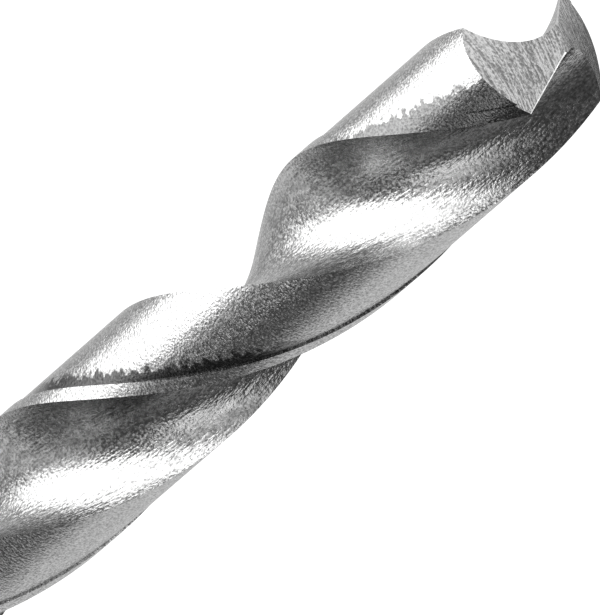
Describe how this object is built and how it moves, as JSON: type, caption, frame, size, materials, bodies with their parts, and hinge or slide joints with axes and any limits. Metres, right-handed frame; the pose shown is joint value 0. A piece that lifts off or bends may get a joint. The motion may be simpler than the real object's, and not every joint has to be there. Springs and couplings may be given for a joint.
{
  "type": "twist drill bit",
  "caption": "Right-hand jobber twist drill with helical flutes, narrow margins, a ground conical point and a plain cylindrical shank.",
  "frame": {"origin": "centre of the shank's flat end face", "axes": "+Z along the drill's axis towards the point; the lips' outer corners lie on the X axis"},
  "size_m": [0.01, 0.01, 0.133],
  "materials": {
    "ground_steel": "bright ground high speed steel, fine grinding lines"
  },
  "bodies": {
    "root": {"drill_bit": "ground_steel"}
  },
  "joints": []
}
